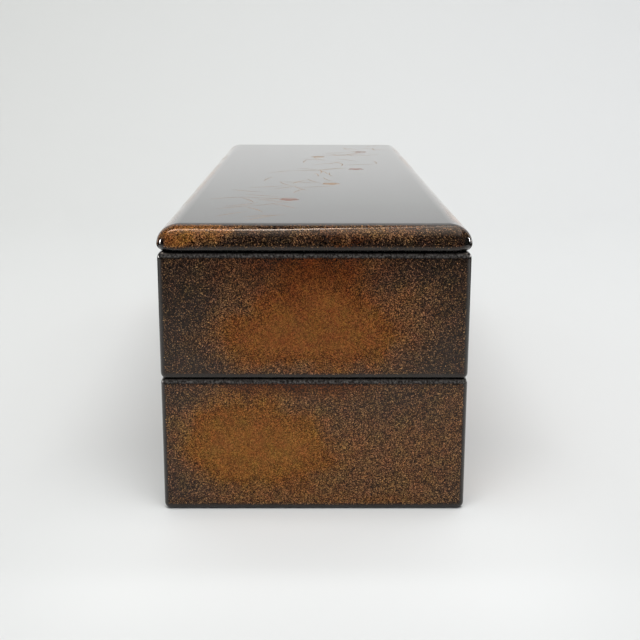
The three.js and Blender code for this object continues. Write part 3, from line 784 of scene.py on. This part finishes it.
BAMBOO, BRUSH_HAIR, POLISHED_HORN = bamboo(), brush_hair(), horn()
for side in ("left", "right"):
    shaft(side)
    hair(side)
    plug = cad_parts[f"brush_{side}_plug"].data.materials
    plug.clear()
    plug.append(POLISHED_HORN)

# Lid: a flat board with a low rim glued under it, cushioned to a full curve all round so that it
# meets the hand softly. Its lower edge is plain black above the hairline joint with the tier,
# and shows no wear.
LID_CORNER = 5.6 * MM
LID_SHOULDER = (5.4 * MM, 6.4 * MM)
LID_FOOT = (1.9 * MM, 1.7 * MM)
LID_FOOT_BAND = np.array([0.4, 1.8])
LID_TOP_BAND = 0.5
LID_CORNER_BAND = (2.35, 3.5)
INLAY = 0.04 * MM
INLAY_CROWN, INLAY_EDGE = 0.95, 0.03
LID_CLOUDS = [
    ((-34, -140, 81), (24, 40, 4.5), 0.5),
    ((14, -140, 81), (30, 40, 5.5), 0.2),
]
LID_HAZE = 0.13
# The lid's red cloud low on its edge: partly copper powder, partly painted shade.
LID_RED_SHADE = ((8, -140, 77), (14, 30, 3))


def lid_case():
    """The lid's skin: a profile from the ceiling of its hollow, down inside the rim, round the
    cushioned edge and onto the flat top, carried round the lid and closed by two flat caps."""
    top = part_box("lid_top_board")
    low, left_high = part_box("lid_rim_left")
    half = (-low[0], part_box("lid_rim_back")[1][1])
    rim = left_high[0] - low[0]
    deep = rim + CAP_INSET
    flat = LID_SHOULDER[1] + CAP_INSET
    ceiling, high = top[0][2], top[1][2] - INLAY
    fillet = (EDGE_FILLET, EDGE_FILLET)
    corners = [
        (deep, ceiling), (rim, ceiling), (rim, low[2]), (0, low[2]), (0, high), (flat, high),
    ]
    setbacks = [fillet, fillet, fillet, LID_FOOT, LID_SHOULDER, fillet]
    arcs = soften(corners, setbacks)[1:-1].reshape(-1, 2)
    profile = np.vstack([corners[0], arcs, corners[-1]])
    grid = carry(profile, half, LID_CORNER, INNER_FILLET)
    limits = [low[2] / MM + LID_FOOT_BAND, (high / MM, high / MM - LID_TOP_BAND), LID_CORNER_BAND]
    below = low[2] / MM - WORN_SHEEN_RIM[0]
    edge = clouded_nashiji("clouded_nashiji_lid", limits, LID_CLOUDS, LID_HAZE,
                           (half[0] / MM, half[1] / MM), YELLOWER_GOLDS, below, LID_RED_SHADE)
    nodes = ["lid_top_board"] + [f"lid_rim_{side}" for side in SIDES]
    made = piece("lid_case", grid, "lid", edge, nodes,
                 wrap=False, caps=True)
    made.data.materials.append(ROIRO_URUSHI)
    inset, height = ((profile[1:] + profile[:-1]) / 2).T
    plain = (inset > LID_SHOULDER[1] - HOLD) | ((height < ceiling + HOLD) & (inset > LID_FOOT[0]))
    plain = np.concatenate([np.repeat(plain, grid.shape[1]), [True, True]]).astype(np.int32)
    made.data.polygons.foreach_set("material_index", plain)
    return high


# Maki-e on the lid: a common pattern of scattered pine needles and a few plum blossoms, drawn in
# wet lacquer, dusted with gold or red powder, and raised by a hair over the polished ground.
MAKIE_GOLD = linear("a87838")
MAKIE_DARK = linear("6e4a1e")
RED_LACQUER = linear("7c3022")
NEEDLE = (15 * MM, 0.45 * MM)
NEEDLE_BEND = 0.06
NEEDLES = 60
DRIFT_START = np.array([-24, -118]) * MM
DRIFT_SPREAD = np.array([7.0, 12.0]) * MM
DRIFT_LIMIT = np.array([29, 126]) * MM
BLOSSOM = 3.4 * MM
BLOSSOMS = np.array([[-8, -84], [6, -40], [17, 12], [2, 66], [22, 92]]) * MM


def makie_powder(name, first, second):
    """Gold or red powder dusted on wet lacquer: grains of two tones with a satin glint. They are
    drawn coarser than the real powder, which is too fine to show."""
    made, add, mm = new_material(name)
    chance = add("ShaderNodeTexVoronoi", {"Vector": mm, "Scale": 1 / FINE_GRAIN})["Color"]
    chance = add("ShaderNodeSeparateColor", {0: chance})[0]
    shade = add("ShaderNodeMix", {0: chance, 6: first, 7: second}, data_type="RGBA")[2]
    shader = add("ShaderNodeBsdfPrincipled", {
        "Base Color": shade, "Metallic": 0.4, "Roughness": 0.32, "IOR": LACQUER_IOR})[0]
    add("ShaderNodeOutputMaterial", {"Surface": shader})
    return made


def strew(name, roots, turns, flat, material, height):
    """Copies one small shape, a grid of (x, y, lift), to each root, turned by each angle."""
    cos, sin = np.cos(turns)[:, None, None], np.sin(turns)[:, None, None]
    x = roots[:, 0, None, None] + cos * flat[..., 0] - sin * flat[..., 1]
    y = roots[:, 1, None, None] + sin * flat[..., 0] + cos * flat[..., 1]
    z = np.broadcast_to(height + flat[..., 2], x.shape)
    grid = np.stack([x, y, z], axis=-1)
    index = np.arange(x.size).reshape(x.shape)
    quads = np.stack([index[:, :-1, :-1], index[:, :-1, 1:], index[:, 1:, 1:], index[:, 1:, :-1]],
                     axis=-1)
    mesh = bpy.data.meshes.new(name)
    mesh.from_pydata(grid.reshape(-1, 3), [], quads.reshape(-1, 4).tolist())
    mesh.shade_smooth()
    mesh.materials.append(material)
    made = bpy.data.objects.new(name, mesh)
    bpy.context.collection.objects.link(made)
    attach(made, "lid")


def lid_pattern(height):
    """Needles: with s along and c across, both -1 to 1, a needle is (L s / 2, W c (1 - s^2) / 2)
    bent sideways by a share of L s^2. They lie by chance about a line that slants along the lid.
    Blossoms: with p from 0 to 1 out and q round, the edge lies at R (0.72 + 0.28 |cos 2.5 q|).
    Both rise towards their middle to the height of the inlay."""
    chance = np.random.default_rng(11)
    along, across = np.meshgrid(np.linspace(-1, 1, 13), np.array([1, 0, -1]), indexing="ij")
    length, width = NEEDLE
    needle = np.stack([
        length / 2 * along,
        width / 2 * across * (1 - along ** 2) + NEEDLE_BEND * length * along ** 2,
        INLAY * (INLAY_CROWN * (1 - across ** 2) * (1 - along ** 2) + INLAY_EDGE),
    ], axis=-1)
    share = np.linspace(1, -1, NEEDLES)[:, None]
    drift = DRIFT_START * share
    roots = drift + chance.normal(0, 1, drift.shape) * DRIFT_SPREAD
    roots = np.clip(roots, -DRIFT_LIMIT, DRIFT_LIMIT)
    turns = chance.uniform(0, 2 * np.pi, len(roots))
    gold = makie_powder("gold_maki_e", MAKIE_DARK, MAKIE_GOLD)
    strew("lid_needles", roots, turns, needle, gold, height)
    out, around = np.linspace(0.04, 1, 7), np.linspace(0, 2 * np.pi, 61)
    out, around = np.meshgrid(out, around, indexing="ij")
    edge = 0.72 + 0.28 * np.abs(np.cos(2.5 * around))
    blossom = np.stack([
        BLOSSOM * out * edge * np.cos(around), BLOSSOM * out * edge * np.sin(around),
        INLAY * (INLAY_CROWN * (1 - out ** 2) + INLAY_EDGE),
    ], axis=-1)
    turns = chance.uniform(0, 2 * np.pi, len(BLOSSOMS))
    red = makie_powder("red_maki_e", RED_LACQUER, MAKIE_DARK)
    strew("lid_blossoms_red", BLOSSOMS[::2], turns[::2], blossom, red, height)
    strew("lid_blossoms_gold", BLOSSOMS[1::2], turns[1::2], blossom, gold, height)


lid_pattern(lid_case())

# Studio: a pale cloth that runs from under the box up to a soft curve on every side. The gloss
# mirrors it as pale only about the front of the box and well behind it, and as dark elsewhere.
SWEEP_MIDDLE = -0.64
SWEEP_HALF = (2.4, 1.36)
SWEEP_CORNER = 0.9
SWEEP_RADIUS = 0.30
SWEEP_HEIGHT = 1.1
FLOOR_EDGE = 0.02
CLOTH_SPAN = 350.0
# CLOTH_SHADED_LEFT and CLOTH_LIT_RIGHT paint light on the cloth, a little brighter on the right.
CLOTH_SHADED_LEFT = linear("d8d9d7")
CLOTH_LIT_RIGHT = linear("dddede")
# CLOTH_LIT_PALER paints light before the box, lifting its shadow, over the rectangle set below.
CLOTH_LIT_PALER = 1.13
CLOTH_MIRRORED = linear("f2f2f1")
CLOTH_END_MIRRORED = linear("2c2c2c")
MIRRORED_FRONT = (-560.0, -260.0)
MIRRORED_BESIDE = (-40.0, 60.0)
MIRRORED_BEHIND = (380.0, 430.0)
MIRRORED_ASIDE = (900.0, 1200.0)
MIRRORED_WALL = (160.0, 230.0)
MIRRORED_SHARE = (0.95, 0.8)
# The rectangle before the box where the painted light lies, in millimetres.
LIT_PATCH_MIDDLE = (0.0, -160.0)
LIT_PATCH_HALF = (40.0, 25.0)
LIT_PATCH_FADE = 60.0


def cotton_cloth():
    """The cloth's colour runs from left to right over CLOTH_SPAN each way, as painted light that
    falls brighter on the right, and is paler by up to CLOTH_LIT_PALER within the fade of a
    rectangle before the box, as painted light that lifts the box's shadow there.

    What the gloss mirrors of it turns pale along y over MIRRORED_FRONT, dark over MIRRORED_BESIDE
    and pale again over MIRRORED_BEHIND. It turns dark to the sides over MIRRORED_ASIDE, and dims
    up the wall over MIRRORED_WALL. Places are in millimetres.
    """
    cloth, add, mm = new_material("pale_cotton_cloth")
    part = add("ShaderNodeSeparateXYZ", {0: mm})
    # Painted light: the cloth is drawn darker on the left and paler on the right.
    share = {"Value": part["X"], "From Min": -CLOTH_SPAN, "From Max": CLOTH_SPAN}
    share = add("ShaderNodeMapRange", share)[0]
    shade = add("ShaderNodeMix", {0: share, 6: CLOTH_SHADED_LEFT, 7: CLOTH_LIT_RIGHT}, data_type="RGBA")[2]

    # Painted light: paler within the fade of a rectangle before the box, where it lifts the box's
    # shadow.
    aside = []
    for axis, middle, reach in zip(("X", "Y"), LIT_PATCH_MIDDLE, LIT_PATCH_HALF):
        out = add("ShaderNodeMath", {0: part[axis], 1: middle}, operation="SUBTRACT")[0]
        out = add("ShaderNodeMath", {0: out}, operation="ABSOLUTE")[0]
        out = add("ShaderNodeMath", {0: out, 1: reach}, operation="SUBTRACT")[0]
        aside.append(add("ShaderNodeMath", {0: out, 1: 0.0}, operation="MAXIMUM")[0])
    aside = add("ShaderNodeCombineXYZ", {"X": aside[0], "Y": aside[1]})[0]
    aside = add("ShaderNodeVectorMath", {0: aside}, operation="LENGTH")["Value"]
    paler = {"Value": aside, "From Min": LIT_PATCH_FADE, "From Max": 0.0,
             "To Min": 1.0, "To Max": CLOTH_LIT_PALER}
    paler = add("ShaderNodeMapRange", paler, interpolation_type="SMOOTHSTEP")[0]
    shade = add("ShaderNodeVectorMath", {0: shade, "Scale": paler}, operation="SCALE")[0]

    near = {"Value": part["Y"], "From Min": MIRRORED_FRONT[0], "From Max": MIRRORED_FRONT[1]}
    near = add("ShaderNodeMapRange", near)[0]
    before = {"Value": part["Y"], "From Min": MIRRORED_BESIDE[1], "From Max": MIRRORED_BESIDE[0]}
    before = add("ShaderNodeMapRange", before)[0]
    behind = {"Value": part["Y"], "From Min": MIRRORED_BEHIND[0], "From Max": MIRRORED_BEHIND[1]}
    behind = add("ShaderNodeMapRange", behind)[0]
    shown = add("ShaderNodeMath", {0: before, 1: behind}, operation="ADD")[0]
    near = add("ShaderNodeMath", {0: near, 1: shown}, operation="MULTIPLY")[0]
    far = add("ShaderNodeMath", {0: part["X"]}, operation="ABSOLUTE")[0]
    far = {"Value": far, "From Min": MIRRORED_ASIDE[1], "From Max": MIRRORED_ASIDE[0]}
    far = add("ShaderNodeMapRange", far)[0]
    near = add("ShaderNodeMath", {0: near, 1: far}, operation="MULTIPLY")[0]
    mirror = {0: near, 6: CLOTH_END_MIRRORED, 7: CLOTH_MIRRORED}
    mirror = add("ShaderNodeMix", mirror, data_type="RGBA")[2]
    dim = {"Value": part["Z"], "From Min": MIRRORED_WALL[0], "From Max": MIRRORED_WALL[1],
           "To Min": MIRRORED_SHARE[0], "To Max": MIRRORED_SHARE[1]}
    dim = add("ShaderNodeMapRange", dim)[0]
    mirror = add("ShaderNodeVectorMath", {0: mirror, "Scale": dim}, operation="SCALE")[0]
    mirrored = add("ShaderNodeLightPath")["Is Glossy Ray"]
    shade = add("ShaderNodeMix", {0: mirrored, 6: shade, 7: mirror}, data_type="RGBA")[2]
    shader = add("ShaderNodeBsdfPrincipled", {
        "Base Color": shade, "Roughness": 0.9, "Specular IOR Level": 0.0})[0]
    add("ShaderNodeOutputMaterial", {"Surface": shader})
    return cloth


def studio_sweep():
    """The cloth: a quarter circle and a line of wall carried round its rectangle, with the floor
    as a flat cap."""
    turn = np.linspace(0, np.pi / 2, 25)
    curve = np.stack([1 - np.sin(turn), 1 - np.cos(turn)], axis=-1) * SWEEP_RADIUS
    profile = np.vstack([(SWEEP_RADIUS + FLOOR_EDGE, 0), curve, (0, SWEEP_HEIGHT)])
    grid = carry(profile, SWEEP_HALF, SWEEP_CORNER, SWEEP_RADIUS) + np.array([0, SWEEP_MIDDLE, 0])
    index = np.arange(grid.shape[0] * grid.shape[1]).reshape(grid.shape[:2])
    around = np.hstack([index, index[:, :1]])
    faces = np.stack([around[:-1, :-1], around[1:, :-1], around[1:, 1:], around[:-1, 1:]], axis=-1)
    mesh = bpy.data.meshes.new("studio_sweep")
    mesh.from_pydata(grid.reshape(-1, 3), [], faces.reshape(-1, 4).tolist() + [index[0].tolist()])
    mesh.shade_smooth()
    made = bpy.data.objects.new("studio_sweep", mesh)
    bpy.context.collection.objects.link(made)
    mesh.materials.append(cotton_cloth())


studio_sweep()

# Room: pale to the eye and evenly lit, but dim in what the gloss mirrors of it.
ROOM_LIGHT = 0.26
ROOM_MIRRORED = 0.05
ROOM_SEEN = 0.65
world = bpy.data.worlds.new("pale_room")
bpy.context.scene.world = world
world.use_nodes = True
world.node_tree.nodes.clear()
path = add_node(world.node_tree, "ShaderNodeLightPath")
strength = {"Value": path["Is Glossy Ray"], "To Min": ROOM_LIGHT, "To Max": ROOM_MIRRORED}
strength = add_node(world.node_tree, "ShaderNodeMapRange", strength)[0]
strength = {0: path["Is Camera Ray"], 2: strength, 3: ROOM_SEEN}
strength = add_node(world.node_tree, "ShaderNodeMix", strength)[0]
room = {"Color": linear("e9ebee"), "Strength": strength}
room = add_node(world.node_tree, "ShaderNodeBackground", room)[0]
add_node(world.node_tree, "ShaderNodeOutputWorld", {"Surface": room})

# Diffuser: a sheet of white cloth stretched over the box, seen only in the gloss. It glows most
# towards its slanting back edge, along which the lamp's tube shows through at the left.
DIFFUSER_LEFT, DIFFUSER_RIGHT = -1.0, 1.0
DIFFUSER_FRONT, DIFFUSER_BACK = -1.1, 1.0
DIFFUSER_HEIGHT = 1.25
DIFFUSER_SLANT = (-50.0, 2.6, 220.0)
DIFFUSER_FADE = (10.0, -10.0)
SHEET_FADE = (-1000.0, -140.0)
SHEET_GLOW = 2.0
TUBE_EDGE = (-95.0, -65.0)
TUBE_FADE = (80.0, 20.0)
TUBE_GLOW = (4.0, 32.0)


def diffuser():
    """With e = y - c - b max(x, a) in millimetres, for the slant a, b and c, the sheet glows where
    e < 0, from nothing to its full glow along y over SHEET_FADE. The tube shows from e = -80, in
    the middle of TUBE_EDGE, to 0, and grows from faint to bright along x over TUBE_FADE."""
    x = np.array([DIFFUSER_LEFT, DIFFUSER_LEFT, DIFFUSER_RIGHT, DIFFUSER_RIGHT])
    y = np.array([DIFFUSER_FRONT, DIFFUSER_BACK, DIFFUSER_BACK, DIFFUSER_FRONT])
    corners = np.stack([x, y, np.full(4, DIFFUSER_HEIGHT)], axis=-1)
    mesh = bpy.data.meshes.new("diffuser")
    mesh.from_pydata(corners, [], [(0, 1, 2, 3)])
    made = bpy.data.objects.new("diffuser", mesh)
    bpy.context.collection.objects.link(made)
    glow, add, mm = new_material("lit_diffuser_cloth")
    part = add("ShaderNodeSeparateXYZ", {0: mm})
    slant = add("ShaderNodeMath", {0: part["X"], 1: DIFFUSER_SLANT[0]}, operation="MAXIMUM")[0]
    back = {0: slant, 1: DIFFUSER_SLANT[1], 2: DIFFUSER_SLANT[2]}
    back = add("ShaderNodeMath", back, operation="MULTIPLY_ADD")[0]
    beyond = add("ShaderNodeMath", {0: part["Y"], 1: back}, operation="SUBTRACT")[0]
    sheet = {"Value": part["Y"], "From Min": SHEET_FADE[0], "From Max": SHEET_FADE[1],
             "To Max": SHEET_GLOW}
    sheet = add("ShaderNodeMapRange", sheet)[0]
    tube = {"Value": beyond, "From Min": TUBE_EDGE[0], "From Max": TUBE_EDGE[1]}
    tube = add("ShaderNodeMapRange", tube)[0]
    lit = {"Value": part["X"], "From Min": TUBE_FADE[0], "From Max": TUBE_FADE[1],
           "To Min": TUBE_GLOW[0], "To Max": TUBE_GLOW[1]}
    lit = add("ShaderNodeMapRange", lit)[0]
    power = add("ShaderNodeMath", {0: tube, 1: lit, 2: sheet}, operation="MULTIPLY_ADD")[0]
    inside = {"Value": beyond, "From Min": DIFFUSER_FADE[0], "From Max": DIFFUSER_FADE[1]}
    inside = add("ShaderNodeMapRange", inside)[0]
    power = add("ShaderNodeMath", {0: power, 1: inside}, operation="MULTIPLY")[0]
    shader = add("ShaderNodeEmission", {"Color": linear("fff6ea"), "Strength": power})[0]
    add("ShaderNodeOutputMaterial", {"Surface": shader})
    mesh.materials.append(glow)
    made.visible_camera = made.visible_diffuse = made.visible_shadow = False


diffuser()

# Lamps: broad soft ones over the box, before it and towards the backdrop give the plain light,
# and two small bare ones beside it show as glints on its corners. Places are in metres.


def lamp(name, place, target, size, power, spread=180, lights=True, mirrored=True):
    """A rectangular soft lamp at a place, turned to its target. It can be left out of the plain
    light on surfaces, or out of what gloss mirrors."""
    light = bpy.data.lights.new(name, "AREA")
    light.shape = "RECTANGLE"
    light.size, light.size_y = size
    light.energy = power
    light.spread = np.radians(spread)
    made = bpy.data.objects.new(name, light)
    bpy.context.collection.objects.link(made)
    made.visible_diffuse, made.visible_glossy = lights, mirrored
    made.location = place
    made.rotation_euler = (Vector(target) - Vector(place)).to_track_quat("-Z", "Y").to_euler()


lamp("overhead_lamp", (0.03, -0.3, 1.25), (0.03, -0.3, 0), (1.3, 0.7), 9.5, mirrored=False)
lamp("front_lamp", (0, -1.0, 1.3), (0, 0, 0), (1.6, 0.5), 9.5, mirrored=False)
lamp("backdrop_lamp", (0.15, 0.35, 1.0), (0.15, 0.72, 0.2), (1.6, 0.2), 3.6, mirrored=False)
lamp("left_glint", (-0.9, 0.08, 0.15), (-0.04, -0.14, 0.08), (0.05, 0.3), 0.04, 16, lights=False)
lamp("right_glint", (0.82, 0.26, 0.2), (0.04, -0.14, 0.08), (0.04, 0.3), 0.04, 16, lights=False)

# Camera: placed by fitting the box's corners in the photograph, and lensed to match.
CAMERA_PLACE = np.array([-0.8, -435.8, 127.2]) * MM
CAMERA_PITCH = np.radians(13.55)
CAMERA_YAW = np.radians(0.45)
CAMERA_ROLL = np.radians(0.15)
FOCAL_PIXELS = 1105
IMAGE_PIXELS = 640
SENSOR = 36.0


def photo_camera():
    """A camera that looks along yaw and pitch, with its frame turned by the roll."""
    forward = np.array([np.sin(CAMERA_YAW) * np.cos(CAMERA_PITCH),
                        np.cos(CAMERA_YAW) * np.cos(CAMERA_PITCH), -np.sin(CAMERA_PITCH)])
    level = np.array([np.cos(CAMERA_YAW), -np.sin(CAMERA_YAW), 0.0])
    rise = np.cross(level, forward)
    right = np.cos(CAMERA_ROLL) * level + np.sin(CAMERA_ROLL) * rise
    up = np.cos(CAMERA_ROLL) * rise - np.sin(CAMERA_ROLL) * level
    data = bpy.data.cameras.new("photo_camera")
    data.sensor_width = SENSOR
    data.lens = FOCAL_PIXELS / IMAGE_PIXELS * SENSOR
    data.clip_start = 0.01
    made = bpy.data.objects.new("photo_camera", data)
    bpy.context.collection.objects.link(made)
    turn = np.eye(4)
    turn[:3, 0], turn[:3, 1], turn[:3, 2], turn[:3, 3] = right, up, -forward, CAMERA_PLACE
    made.matrix_world = Matrix(turn.tolist())
    bpy.context.scene.camera = made


photo_camera()
bpy.context.scene.view_settings.view_transform = "Standard"
